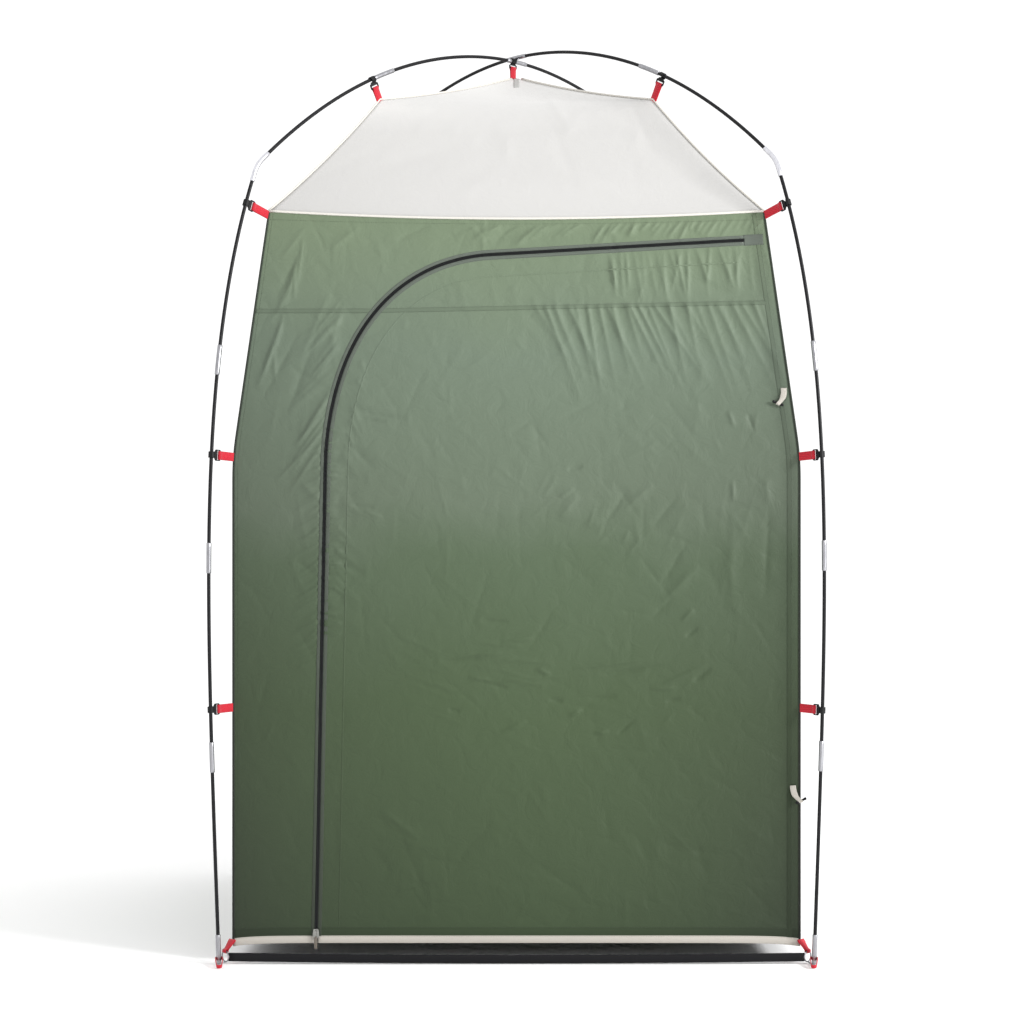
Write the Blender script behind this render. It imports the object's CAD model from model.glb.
# %% [markdown]
# # A privacy shower tent
#
# The tent is a square cabin of taffeta hung inside two crossed poles. Red webbing straps run from its corner
# seams to black clips on the poles, and the front has a door with a long curved zip. This lesson starts from
# the measured frame and dresses it: the cloth with its folds, the tapes and seams, the webbing, the rods and
# their steel ferrules.

import math

import bmesh
import bpy
import numpy as np
from mathutils import Matrix, Vector
from mathutils.bvhtree import BVHTree


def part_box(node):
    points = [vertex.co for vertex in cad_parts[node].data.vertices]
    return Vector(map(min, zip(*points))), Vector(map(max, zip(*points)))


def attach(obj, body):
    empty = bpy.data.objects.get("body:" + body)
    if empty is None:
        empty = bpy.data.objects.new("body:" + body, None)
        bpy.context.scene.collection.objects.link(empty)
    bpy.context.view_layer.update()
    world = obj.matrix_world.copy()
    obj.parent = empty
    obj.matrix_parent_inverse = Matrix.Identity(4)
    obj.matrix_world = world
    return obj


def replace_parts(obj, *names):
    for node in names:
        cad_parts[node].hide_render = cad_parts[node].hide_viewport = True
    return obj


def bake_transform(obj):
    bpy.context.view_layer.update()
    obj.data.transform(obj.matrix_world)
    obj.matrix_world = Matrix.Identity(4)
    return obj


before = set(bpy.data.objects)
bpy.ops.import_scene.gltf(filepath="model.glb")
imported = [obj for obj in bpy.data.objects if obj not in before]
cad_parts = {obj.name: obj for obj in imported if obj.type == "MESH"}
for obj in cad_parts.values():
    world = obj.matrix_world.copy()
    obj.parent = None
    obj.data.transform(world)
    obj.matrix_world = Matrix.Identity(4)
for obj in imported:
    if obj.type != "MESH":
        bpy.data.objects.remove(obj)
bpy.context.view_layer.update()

# %% [markdown]
# ## Camera
#
# A long lens from five metres away, level with a person's waist, keeps the walls almost upright. The camera
# looks straight ahead and is shifted, not tilted, so upright edges stay parallel.

# %% Camera
CAMERA_DISTANCE = 5.29
CAMERA_HEIGHT = 0.955

camera_data = bpy.data.cameras.new("camera")
camera_data.sensor_width = 36
camera_data.lens = 70.3125
camera_data.shift_x = -0.0044
camera_data.shift_y = 0.0371
camera = bpy.data.objects.new("camera", camera_data)
camera.location = (0, -CAMERA_DISTANCE, CAMERA_HEIGHT)
camera.rotation_euler = (math.pi / 2, 0, 0)
bpy.context.scene.collection.objects.link(camera)
bpy.context.scene.camera = camera
bpy.context.scene.view_settings.view_transform = "Standard"
print("camera", CAMERA_DISTANCE, "m in front of the middle of the tent")

# %% [markdown]
# ## Colours and nodes
#
# Colours are written as sRGB hex, which is how a paint or cloth chart gives them. Blender mixes light in
# linear values, so one function turns them over. One small helper adds a node, sets it and links it.

# %% Colours and nodes
def linear(colour):
    """sRGB hex to linear RGBA."""
    parts = [int(colour[i : i + 2], 16) / 255 for i in (1, 3, 5)]
    return [c / 12.92 if c <= 0.04045 else ((c + 0.055) / 1.055) ** 2.4 for c in parts] + [1.0]


def add(tree, kind, settings=None, links=None):
    """A node with its settings, and its inputs linked from sockets or from other nodes' first outputs."""
    node = tree.nodes.new("ShaderNode" + kind)
    for key, value in (settings or {}).items():
        if isinstance(key, int) or key in node.inputs:
            node.inputs[key].default_value = value
        else:
            setattr(node, key, value)
    for key, source in (links or {}).items():
        tree.links.new(getattr(source, "outputs", [source])[0], node.inputs[key])
    return node


def new_material(name, **settings):
    """A Principled material with those socket values."""
    made = bpy.data.materials.new(name)
    made.use_nodes = True
    shader = made.node_tree.nodes["Principled BSDF"]
    for key, value in settings.items():
        shader.inputs[key.replace("_", " ")].default_value = value
    return made, made.node_tree, shader


def ramp(tree, source, stops):
    """A colour ramp through (position, hex) stops."""
    node = add(tree, "ValToRGB", links={"Fac": source})
    elements = node.color_ramp.elements
    while len(elements) < len(stops):
        elements.new(0.5)
    for element, (position, colour) in zip(elements, stops):
        element.position = position
        element.color = linear(colour)
    return node.outputs["Color"]


# %% [markdown]
# ## Taffeta
#
# The walls are polyester taffeta: a plain weave of fine smooth yarn with a thin coating on its back. To the
# eye it is matt with a faint sheen, its green deepens towards the hem and the corners, and every handling
# leaves a small crease. The yarns are 0.3 mm apart, which is too fine to show here, so the weave is drawn
# 1.6 mm apart. How near a point is to a corner is stored in the mesh, so it stays when the door swings.

# %% Taffeta
WEAVE = 0.0016


def taffeta(name, stops, low, high, roughness, crease, tone=1.0):
    """Coated polyester cloth, coloured by height through the stops and darker low down beside the corners."""
    made, tree, shader = new_material(
        name, Roughness=roughness, Sheen_Weight=0.15, Sheen_Roughness=0.5, Specular_IOR_Level=0.3
    )
    place = add(tree, "TexCoord").outputs["Object"]
    xyz = add(tree, "SeparateXYZ", links={"Vector": place}).outputs
    height = add(tree, "MapRange", {"From Min": low, "From Max": high}, {"Value": xyz["Z"]})
    cloud = add(tree, "TexNoise", {"Scale": 3.0, "Detail": 3.0}, {"Vector": place})
    wander = add(tree, "Math", {"operation": "MULTIPLY_ADD", 1: 0.12, 2: -0.06}, {0: cloud})
    faded = add(tree, "Math", {"operation": "ADD"}, {0: height, 1: wander})
    near = add(tree, "Attribute", {"attribute_name": "corner_nearness"}).outputs["Fac"]
    depth = add(tree, "Math", {"operation": "MULTIPLY_ADD", 1: 1.35, 2: -3.0}, {0: xyz["Z"]})
    less = add(tree, "Math", {"operation": "MULTIPLY_ADD", 2: 1.0}, {0: near, 1: depth})
    shade = add(tree, "Math", {"operation": "MULTIPLY", 1: tone}, {0: less})
    dyed = add(tree, "VectorMath", {"operation": "SCALE"}, {0: ramp(tree, faded, stops), "Scale": shade})
    tree.links.new(dyed.outputs["Vector"], shader.inputs["Base Color"])
    along = add(tree, "Math", {"operation": "ADD"}, {0: xyz["X"], 1: xyz["Y"]}).outputs[0]
    waves = []
    for across in (along, xyz["Z"]):
        turned = add(tree, "Math", {"operation": "MULTIPLY", 1: 2 * math.pi / WEAVE}, {0: across})
        waves.append(add(tree, "Math", {"operation": "SINE"}, {0: turned}))
    weave = add(tree, "Math", {"operation": "MULTIPLY"}, {0: waves[0], 1: waves[1]})
    crumpled = {"Scale": 22.0, "Detail": 5.0, "Roughness": 0.6, "Distortion": 0.6}
    crumple = add(tree, "TexNoise", crumpled, {"Vector": place})
    fine = add(tree, "Bump", {"Strength": 0.12, "Distance": 0.0003}, {"Height": weave})
    bump = add(tree, "Bump", {"Strength": crease, "Distance": 0.004}, {"Height": crumple, "Normal": fine})
    tree.links.new(bump.outputs["Normal"], shader.inputs["Normal"])
    return made


DEEPENING = [(0.0, "#2e3d24"), (0.324, "#39492e"), (0.518, "#45543e"), (0.6, "#535f4e"), (0.806, "#5b6858")]
DEEPENING += [(1.0, "#637159")]
wall_taffeta = taffeta("green_polyester_taffeta", DEEPENING, 0.05, 1.75, 0.6, 0.85)
roof_taffeta = taffeta(
    "white_polyester_taffeta", [(0.0, "#b6b5b3"), (0.5, "#b6b5b3"), (1.0, "#cdccca")], 1.75, 2.2, 0.7, 0.3
)
seam_taffeta = taffeta("green_seam_taffeta", DEEPENING, 0.05, 1.75, 0.75, 0.2, 0.86)
edge_taffeta = taffeta("dark_edge_taffeta", [(0.0, "#171c13"), (1.0, "#272f24")], 0.05, 1.75, 0.8, 0.1)
hem_taffeta = taffeta("doubled_hem_taffeta", DEEPENING, 0.05, 1.75, 0.75, 0.2, 0.8)
patch_taffeta = taffeta("doubled_roof_taffeta", [(0.0, "#a3a3a0"), (1.0, "#a3a3a0")], 0.05, 1.75, 0.8, 0.1)
zip_taffeta = taffeta("grey_zip_tape", [(0.0, "#353d31"), (1.0, "#565d55")], 0.05, 1.75, 0.8, 0.1)
thread, _, _ = new_material("green_polyester_thread", Base_Color=linear("#2c3526"), Roughness=0.6)
print("taffeta for walls, roof, seams and edges")

# %% [markdown]
# ## Webbing, tape and cord
#
# Webbing is woven from thick polypropylene yarn in a chevron, so it has ribs across its width that you can
# feel. Cream cotton tape binds the hem. Both are matt. The ribs here are 2 mm apart.

# %% Webbing and tape
def woven(name, colour, dark, pitch=0.002, roughness=0.8, sheen=0.2):
    """A ribbed woven band."""
    made, tree, shader = new_material(name, Roughness=roughness, Sheen_Weight=sheen, Specular_IOR_Level=0.2)
    place = add(tree, "TexCoord").outputs["Object"]
    drawn = {"wave_type": "BANDS", "bands_direction": "DIAGONAL", "Scale": 0.314 / pitch, "Distortion": 1.2}
    ribs = add(tree, "TexWave", drawn, {"Vector": place}).outputs["Fac"]
    tree.links.new(ramp(tree, ribs, [(0.0, dark), (0.6, colour)]), shader.inputs["Base Color"])
    bump = add(tree, "Bump", {"Strength": 0.5, "Distance": 0.0006}, {"Height": ribs})
    tree.links.new(bump.outputs["Normal"], shader.inputs["Normal"])
    return made


red_webbing = woven("red_polypropylene_webbing", "#bb202f", "#981726")
black_webbing = woven("black_polypropylene_webbing", "#121215", "#0a0a0c", sheen=0.03)
cream_tape = woven("cream_cotton_tape", "#b5b0a8", "#a29d95", 0.0015, 0.9)
piping_cloth = woven("cream_piping_cloth", "#d0cdc6", "#c3bfb7", 0.0015, 0.85)
puller_tape = woven("grey_ribbon", "#6f6860", "#57514a", 0.0015, 0.85)
print("five woven bands")

# %% [markdown]
# ## Plastic, fibreglass and steel
#
# The clips and pegs are moulded nylon: black, slightly glossy, with a fine spark texture from the mould. The
# rods are fibreglass drawn through a die and coated, so their faint lines run lengthwise. The ferrules are
# drawn steel tube with a bright zinc coat, and the zip's slider is cast zinc.

# %% Hard materials
def hard(name, colour, dark, roughness, scale, bump_height, stretch=(1, 1, 1), **settings):
    """A hard surface whose colour, roughness and bump wander a little."""
    made, tree, shader = new_material(name, **settings)
    place = add(tree, "Mapping", {"Scale": stretch}, {"Vector": add(tree, "TexCoord").outputs["Object"]})
    grain = add(tree, "TexNoise", {"Scale": scale, "Detail": 4.0}, {"Vector": place})
    tree.links.new(ramp(tree, grain, [(0.3, dark), (0.7, colour)]), shader.inputs["Base Color"])
    rough = add(tree, "MapRange", {"To Min": roughness * 0.8, "To Max": roughness * 1.2}, {"Value": grain})
    tree.links.new(rough.outputs["Result"], shader.inputs["Roughness"])
    bump = add(tree, "Bump", {"Strength": 0.3, "Distance": bump_height}, {"Height": grain})
    tree.links.new(bump.outputs["Normal"], shader.inputs["Normal"])
    return made


glossy, rolled, drawn = {"IOR": 1.5, "Specular_IOR_Level": 0.22}, (1, 1, 0.05), (1, 1, 0.08)
nylon = hard("moulded_black_nylon", "#101113", "#0a0b0c", 0.55, 900.0, 0.0001, **glossy)
fibreglass = hard("coated_black_fibreglass", "#0f0f13", "#08080a", 0.42, 400.0, 0.0001, rolled, **glossy)
steel = hard("zinc_plated_steel_tube", "#a9a9ad", "#8d8d91", 0.36, 300.0, 0.0001, drawn, Metallic=1.0)
bright_steel = hard("bright_drawn_steel_elbow", "#dedee3", "#c6c6cc", 0.3, 300.0, 0.0001, drawn, Metallic=1.0)
zinc = hard("cast_zinc", "#a5a5a1", "#7f7f7b", 0.38, 500.0, 0.0001, Metallic=1.0)
coil = hard("black_nylon_coil", "#131617", "#090b0b", 0.6, 700.0, 0.0002, IOR=1.5, Specular_IOR_Level=0.25)
print("nylon, fibreglass, steel, zinc and zip coil")

# %% [markdown]
# ## The line of a pole
#
# Each pole is a chain of rods: a leg that leans out a little at the foot and curls in as it rises, a bent
# elbow, and a roof arm that flattens towards the crossing. Its direction is known at every point, so small
# steps along that direction give the line, and every sleeve, clip and strap is placed by its distance along.

# %% Pole lines
FOOT = 0.685 * math.sqrt(2)
LEG_LEAN, LEG_BEND, ELBOW_BEND = -2.5, 22.0, 28.0
ELBOW_LENGTH, ELBOW_SOCKET = 0.088, 0.024
ROOF_SLOPE = 90 - LEG_LEAN - LEG_BEND - ELBOW_BEND
ROD = 0.00425
SLEEVE = ROD + 0.0007 + 0.00075
SLEEVE_LENGTH = 0.070


def elbow_lean(along):
    turned = (along - ELBOW_SOCKET) / (ELBOW_LENGTH - 2 * ELBOW_SOCKET)
    return LEG_LEAN + LEG_BEND + ELBOW_BEND * min(max(turned, 0), 1)


def leg_lean(t):
    return LEG_LEAN + LEG_BEND * t**3


def roof_lean(t):
    return 90 - ROOF_SLOPE * t * (1 + 0.293 * (1 - t))


def mean_direction(lean, steps=400):
    angles = [math.radians(lean((i + 0.5) / steps)) for i in range(steps)]
    return sum(map(math.sin, angles)) / steps, sum(map(math.cos, angles)) / steps


class PoleLine:
    """Half a pole in its corner's upright plane, as distance from the middle and height."""

    def __init__(self, height):
        leg_in, leg_up = mean_direction(leg_lean)
        roof_in, roof_up = mean_direction(roof_lean)
        bend_in, bend_up = mean_direction(lambda t: elbow_lean(t * ELBOW_LENGTH))
        across = FOOT - bend_in * ELBOW_LENGTH
        up = height - bend_up * ELBOW_LENGTH
        span = leg_in * roof_up - leg_up * roof_in
        self.leg = (across * roof_up - up * roof_in) / span
        self.roof = (leg_in * up - leg_up * across) / span
        self.elbow_end = self.leg + ELBOW_LENGTH
        self.crossing = self.elbow_end + self.roof
        self.step = self.crossing / 800
        points = [(FOOT, 0.0)]
        for i in range(800):
            angle = math.radians(self.lean((i + 0.5) * self.step))
            r, z = points[-1]
            points.append((r - math.sin(angle) * self.step, z + math.cos(angle) * self.step))
        self.points = np.array(points)

    def lean(self, s):
        if s > self.crossing:
            return 180 - self.lean(2 * self.crossing - s)
        if s < self.leg:
            return leg_lean(s / self.leg)
        if s < self.elbow_end:
            return elbow_lean(s - self.leg)
        return roof_lean((self.crossing - s) / self.roof)

    def at(self, s):
        if s > self.crossing:
            r, z = self.at(2 * self.crossing - s)
            return -r, z
        stations = np.arange(801) * self.step
        return tuple(float(np.interp(s, stations, self.points[:, k])) for k in (0, 1))

    def nearest(self, r, z):
        gaps = np.hypot(self.points[:, 0] - r, self.points[:, 1] - z)
        return float(gaps.argmin()) * self.step

    def frame(self, s, corner):
        """Placement of what hangs from the pole at s: x away from the tent, z along the pole."""
        r, z = self.at(s)
        lean = Matrix.Rotation(-math.radians(self.lean(s)), 4, "Y")
        return Matrix.Rotation(corner, 4, "Z") @ Matrix.Translation((r, 0, z)) @ lean


lower_pole = PoleLine(2.245)
upper_pole = PoleLine(2.245 + 2 * SLEEVE + 0.0004)
CORNERS = {
    "front_left": (math.radians(-135), lower_pole, 1),
    "front_right": (math.radians(-45), upper_pole, -1),
    "rear_right": (math.radians(45), lower_pole, 1),
    "rear_left": (math.radians(135), upper_pole, -1),
}
print(f"legs {lower_pole.leg:.3f} m and {upper_pole.leg:.3f} m long, arms {lower_pole.roof:.3f} m")

# %% [markdown]
# ## Building tools
#
# Two tools make most of the tent. A skin turns a grid of points into a mesh. A band sweeps a small closed
# outline along a path, for rods, tubes, webbing and tapes.

# %% Building tools
def mesh_piece(name, part, material, body="tent", instead_of=None):
    """A mesh object from points and faces, riding on a body. It may stand for a measured piece."""
    points, faces = part
    data = bpy.data.meshes.new(name)
    data.from_pydata([tuple(map(float, p)) for p in points], [], faces)
    data.materials.append(material)
    data.polygons.foreach_set("use_smooth", [True] * len(data.polygons))
    near = data.attributes.new("corner_nearness", "FLOAT", "POINT")
    near.data.foreach_set("value", [float(p[0] * p[1]) ** 2 for p in points])
    piece = bpy.data.objects.new(name, data)
    bpy.context.scene.collection.objects.link(piece)
    if body:
        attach(piece, body)
    if instead_of:
        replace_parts(piece, instead_of)
    return piece


def swept(paths, closed_path=False):
    """Points and faces of an outline swept along a path. paths[i] is the outline at the i-th station."""
    rings, count = len(paths), len(paths[0])
    points = [p for ring in paths for p in ring]
    faces = []
    for i in range(rings if closed_path else rings - 1):
        a, b = i * count, ((i + 1) % rings) * count
        faces += [(a + j, a + (j + 1) % count, b + (j + 1) % count, b + j) for j in range(count)]
    if not closed_path:
        faces.append(tuple(reversed(range(count))))
        faces.append(tuple((rings - 1) * count + j for j in range(count)))
    return points, faces


def merged(parts):
    """Several (points, faces) as one."""
    points, faces = [], []
    for part_points, part_faces in parts:
        start = len(points)
        points += list(part_points)
        faces += [tuple(start + i for i in face) for face in part_faces]
    return points, faces


def directions(centres, closed):
    """The unit direction of a path at each of its points."""
    if closed:
        tangents = np.roll(centres, -1, 0) - np.roll(centres, 1, 0)
    else:
        tangents = np.gradient(centres, axis=0)
    return tangents / np.linalg.norm(tangents, axis=1)[:, None]


def tube(centres, radii, sides=16, closed=False):
    """A round tube along centres; radii is one number or one for each centre."""
    centres = np.array(centres, float)
    radii = np.broadcast_to(np.array(radii, float), len(centres))
    tangents = directions(centres, closed)
    start = np.array([0.0, 0, 1]) if abs(tangents[0][2]) < 0.9 else np.array([1.0, 0, 0])
    rings = []
    for centre, tangent, radius in zip(centres, tangents, radii):
        start = start - tangent * (start @ tangent)
        start /= np.linalg.norm(start)
        other = np.cross(tangent, start)
        angles = np.arange(sides) * 2 * math.pi / sides
        rings.append([centre + radius * (math.cos(a) * start + math.sin(a) * other) for a in angles])
    return swept(rings, closed)


def band(centres, across, width, thickness, closed=False):
    """A flat woven band with soft edges. across is its width direction, one or one for each centre."""
    centres = np.array(centres, float)
    across = np.broadcast_to(np.array(across, float), centres.shape)
    tangents = directions(centres, closed)
    w, t = width / 2, thickness / 2
    outline = [(-w, 0), (-w + t, t), (0, t), (w - t, t), (w, 0), (w - t, -t), (0, -t), (-w + t, -t)]
    rings = []
    for centre, tangent, side in zip(centres, tangents, across):
        side = side - tangent * (side @ tangent)
        side = side / np.linalg.norm(side)
        face = np.cross(side, tangent)
        rings.append([centre + side * a + face * b for a, b in outline])
    return swept(rings, closed)


def placed(part, matrix):
    points, faces = part
    return [tuple(matrix @ Vector(map(float, p))) for p in points], faces


# %% [markdown]
# ## Poles
#
# Fibreglass rods are drawn smooth, and a steel ferrule is crimped over each joint: its ends are rolled in, so
# it shows a thin dark ring where it meets the rod. The foot of each leg wears a longer steel tip, and a bent
# steel elbow joins leg and roof arm.

# %% Poles
SLEEVE_HALF, ROLLED = SLEEVE_LENGTH / 2, 0.0012


def pole_tube(line, corner, stations, radii, sides):
    """A tube along a pole through those distances."""
    centres = [(line.at(s)[0], 0, line.at(s)[1]) for s in stations]
    return placed(tube(centres, radii, sides), Matrix.Rotation(corner, 4, "Z"))


def rod(line, corner, start, end, steps):
    return pole_tube(line, corner, np.linspace(start, end, steps + 1), ROD, 16)


def ferrule(line, corner, start, end, radius=SLEEVE):
    """A steel tube with rolled ends."""
    inner = [s for s in np.linspace(start, end, 8) if start + ROLLED < s < end - ROLLED]
    lip = [start, start + ROLLED * 0.4, start + ROLLED]
    far_lip = [end - ROLLED, end - ROLLED * 0.4, end]
    radii = [ROD + 0.0003, radius - 0.0004] + [radius] * (len(inner) + 2) + [radius - 0.0004, ROD + 0.0003]
    return pole_tube(line, corner, lip + inner + far_lip, radii, 20)


def sleeve_at(line, corner, s):
    return ferrule(line, corner, s - SLEEVE_HALF, s + SLEEVE_HALF)


for where, (corner, line, turn) in CORNERS.items():
    leg = rod(line, corner, 0.003, line.leg + 0.020, 90)
    mesh_piece(f"leg_rod_{where}", leg, fibreglass, instead_of=f"leg_pole_{where}")
    tubes = [sleeve_at(line, corner, line.leg * (i + 1) / 4 + 0.022) for i in range(3)]
    tubes.append(ferrule(line, corner, 0.0028, 0.070))
    mesh_piece(f"leg_ferrules_{where}", merged(tubes), steel)
    arm = rod(line, corner, line.elbow_end - 0.020, line.crossing - 0.0002, 60)
    mesh_piece(f"roof_rod_{where}", arm, fibreglass, instead_of=f"roof_pole_{where}")
    middle = sleeve_at(line, corner, line.crossing - line.roof / 2 - 0.022)
    mesh_piece(f"roof_ferrule_{where}", middle, steel)
    bend = ferrule(line, corner, line.leg, line.elbow_end, SLEEVE + 0.0002)
    mesh_piece(f"elbow_tube_{where}", bend, bright_steel, instead_of=f"elbow_{where}")
for name, corner, line in (("lower", -135, lower_pole), ("upper", -45, upper_pole)):
    sleeve = sleeve_at(line, math.radians(corner), line.crossing)
    mesh_piece(f"crossing_tube_{name}", sleeve, steel, instead_of=f"crossing_sleeve_{name}")
print("poles with", 4 * 4 + 4 + 4 + 2, "steel tubes")

# %% [markdown]
# ## The shape of a wall
#
# A wall is upright to the waist and leans in above it, as wide as the roof's edge at its top. Cloth pulled
# between straps is never flat: it hollows between them, gathers where a seam or the zip is tighter than the
# cloth, and keeps creases from packing. All of that is one height field, added to the flat wall, so the
# seams, tapes and zip that lie on the wall can follow the same field.

# %% Wall shape
roof_low, roof_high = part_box("roof_canopy")
wall_low, wall_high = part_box("front_wall")
WALL_HALF, HEM = wall_high.x, wall_low.z
SHOULDER_HALF, SHOULDER, PEAK = roof_high.x, roof_low.z, roof_high.z
WAIST = 1.170


def half(z):
    """From the middle of the tent to a wall at height z; the bend at the waist is eased."""
    z = np.asarray(z, float)
    slope = (WALL_HALF - SHOULDER_HALF) / (SHOULDER - WAIST)
    ease = 0.05
    over = z - WAIST
    eased = np.where(over > ease, over, np.where(over < -ease, 0, (over + ease) ** 2 / (4 * ease)))
    return WALL_HALF - slope * eased


def ridge(x, z, start, end, width, height, fade="both"):
    """A fold with a fairly sharp crest along a line. It fades at both ends, or only at its far one."""
    ax, az = start
    bx, bz = end
    length2 = (bx - ax) ** 2 + (bz - az) ** 2
    t = ((x - ax) * (bx - ax) + (z - az) * (bz - az)) / length2
    inside = np.clip(t, 0, 1)
    side = np.hypot(x - ax - inside * (bx - ax), z - az - inside * (bz - az))
    taper = np.sin(math.pi * inside) ** 0.7 if fade == "both" else (1 - inside) ** 0.8
    return height * taper * np.exp(0.25 - np.hypot(side / width, 0.25) * 1.25)


def folds_field(x, z, folds):
    """The sum of many folds; each is worked out only near its own line."""
    total = np.zeros(x.shape)
    for start, end, width, height, fade in folds:
        (ax, az), (bx, bz), reach = start, end, 4 * width
        near = (x > min(ax, bx) - reach) & (x < max(ax, bx) + reach)
        near &= (z > min(az, bz) - reach) & (z < max(az, bz) + reach)
        if near.any():
            total[near] += ridge(x[near], z[near], start, end, width, height, fade)
    return total


def gathered(start, end, count, fall, width, height, seed, fade="both"):
    """A row of folds that start evenly between two points and run off by about the same fall."""
    chance = np.random.default_rng(seed)
    folds = []
    for t in (np.arange(count) + 0.5) / count:
        t += chance.normal(0, 0.25 / count)
        ax, az = start[0] + (end[0] - start[0]) * t, start[1] + (end[1] - start[1]) * t
        long = chance.uniform(0.6, 1.15)
        turn = chance.normal(0, 0.12)
        dx, dz = fall[0] * long - fall[1] * turn, fall[1] * long + fall[0] * turn
        size = height * chance.uniform(0.45, 1.3)
        folds.append(((ax, az), (ax + dx, az + dz), width * chance.uniform(0.75, 1.3), size, fade))
    return folds


def packing_creases(seed, count, low, high, reach):
    """Short shallow creases all over a wall, from being packed and handled. Most slant down to the right."""
    chance = np.random.default_rng(seed)
    folds = []
    for _ in range(count):
        cx, cz = chance.uniform(-reach, reach), chance.uniform(low, high)
        angle = chance.normal(-0.9, 0.55) if chance.random() < 0.7 else chance.uniform(0, math.pi)
        length = chance.uniform(0.03, 0.16)
        dx, dz = math.cos(angle) * length / 2, math.sin(angle) * length / 2
        width = chance.uniform(0.004, 0.012)
        height = chance.choice([-1, 1]) * chance.uniform(0.0003, 0.0016)
        folds.append(((cx - dx, cz - dz), (cx + dx, cz + dz), width, height, "both"))
    return folds


def mm(values):
    return [v / 1000 for v in values]


# Gathers hang from the tight seams, and drag lines run from the places that are pulled.
DRAG_LINES = [
    (-109, 1679, -39, 1727), (-58, 1674, 8, 1727), (-4, 1671, 67, 1724), (-508, 1659, -565, 1540),
    (-437, 1564, -505, 1398), (-464, 1469, -538, 1257), (-401, 1540, -435, 1433),
    (-506, 1469, -592, 1304), (-438, 1659, -368, 1719), (-285, 1683, -203, 1727),
    (-316, 353, -224, 283), (-398, 1210, -328, 1140), (-409, 1071, -335, 1025), (-421, 932, -351, 897),
    (-502, 1117, -460, 1071), (-513, 932, -465, 897), (101, 1033, 144, 1081), (197, 1007, 260, 1096),
    (249, 1048, 315, 1109), (315, 1007, 374, 1081), (367, 856, 422, 918), (337, 874, 396, 977),
    (332, 820, 407, 913), (309, 792, 365, 848), (576, 1121, 585, 1059), (585, 1059, 576, 844),
]
# Short sharp crinkles that lie nearly level across the middle of the door and beside the zip.
CRINKLES = [
    (-121, 712, -9, 715), (-177, 698, -84, 703), (-112, 661, -56, 651), (-84, 651, -18, 633),
    (131, 680, 318, 703), (196, 665, 346, 687), (337, 642, 444, 689), (411, 651, 451, 681),
    (309, 633, 374, 635), (346, 603, 381, 609), (-37, 530, 24, 558), (-158, 586, -130, 579),
    (47, 680, 80, 665), (75, 609, 108, 603), (122, 569, 152, 584), (168, 608, 234, 616),
    (178, 530, 215, 533), (234, 528, 273, 560), (383, 790, 411, 818), (393, 754, 421, 775),
    (-37, 740, 38, 750), (-84, 792, -18, 787), (101, 1077, 134, 1099), (119, 1141, 154, 1149),
    (492, 1280, 506, 1240), (537, 1273, 553, 1225), (500, 1118, 503, 1066), (-381, 1059, -330, 1052),
    (-354, 1045, -311, 1029), (-367, 1275, -261, 1262), (-360, 1288, -280, 1284), (-367, 1262, -300, 1250),
]


def as_folds(lines, width, height, fade="both", alternate=False):
    made = []
    for i, line in enumerate(lines):
        ax, az, bx, bz = mm(line)
        sign = -1 if alternate and i % 2 else 1
        made.append(((ax, az), (bx, bz), width, sign * height, fade))
    return made


def plain_folds(seed):
    """Creases of a wall without a door, with a few longer folds below the eaves."""
    folds = packing_creases(seed, 190, 0.08, 1.7, 0.6)
    chance = np.random.default_rng(seed + 50)
    for _ in range(14):
        start, drift = chance.uniform(-0.5, 0.5), chance.normal(0, 0.04)
        long = chance.uniform(0.10, 0.35)
        folds.append(((start, 1.74), (start + drift, 1.74 - long), 0.012, 0.0035, "far"))
    return folds


FOLDS = {
    "front": gathered((0.20, 1.733), (0.59, 1.742), 22, (-0.030, -0.050), 0.0048, 0.0040, 1)
    + gathered((-0.10, 1.725), (0.16, 1.733), 11, (-0.060, -0.045), 0.0052, 0.0034, 2)
    + gathered((0.20, 1.655), (0.60, 1.676), 24, (0.014, -0.125), 0.0052, 0.0042, 3)
    + gathered((0.04, 1.522), (0.575, 1.530), 27, (0.075, -0.215), 0.0066, 0.0062, 4, "far")
    + gathered((-0.40, 1.56), (-0.445, 1.20), 17, (-0.085, -0.120), 0.0050, 0.0040, 5)
    + gathered((-0.49, 1.74), (-0.57, 1.40), 10, (-0.030, -0.110), 0.0050, 0.0036, 6)
    + gathered((-0.457, 1.20), (-0.466, 0.70), 34, (-0.055, -0.030), 0.0040, 0.0042, 7, "far")
    + gathered((-0.448, 1.24), (-0.456, 0.76), 46, (0.050, -0.005), 0.0036, 0.0038, 8)
    + gathered((-0.412, 1.02), (-0.420, 0.86), 8, (0.060, -0.040), 0.0042, 0.0034, 14, "far")
    + gathered((-0.10, 0.76), (-0.04, 0.63), 9, (0.17, -0.012), 0.0045, 0.0020, 11)
    + gathered((-0.30, 0.80), (-0.24, 0.60), 7, (0.13, -0.035), 0.0045, 0.0016, 12)
    + gathered((0.05, 1.16), (0.30, 0.98), 9, (-0.035, -0.055), 0.0050, 0.0018, 13)
    + gathered((-0.36, 1.40), (-0.40, 1.16), 9, (0.040, -0.060), 0.0055, 0.0028, 9, "far")
    + gathered((0.42, 1.05), (0.56, 1.05), 4, (0.010, -0.26), 0.0110, 0.0022, 10)
    + as_folds(DRAG_LINES, 0.0095, 0.0036, "both", True)
    + as_folds(CRINKLES, 0.0042, 0.0044, "both", True)
    + packing_creases(3, 430, 0.08, 1.72, 0.62)
    + packing_creases(4, 170, 0.95, 1.72, 0.58),
    "right": plain_folds(12),
    "rear": plain_folds(13),
    "left": plain_folds(11),
}
WALL_TURNS = {"front": 0.0, "right": math.pi / 2, "rear": math.pi, "left": -math.pi / 2}
EAVES_SAG = 0.018
HEM_DROOP = 0.007


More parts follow.
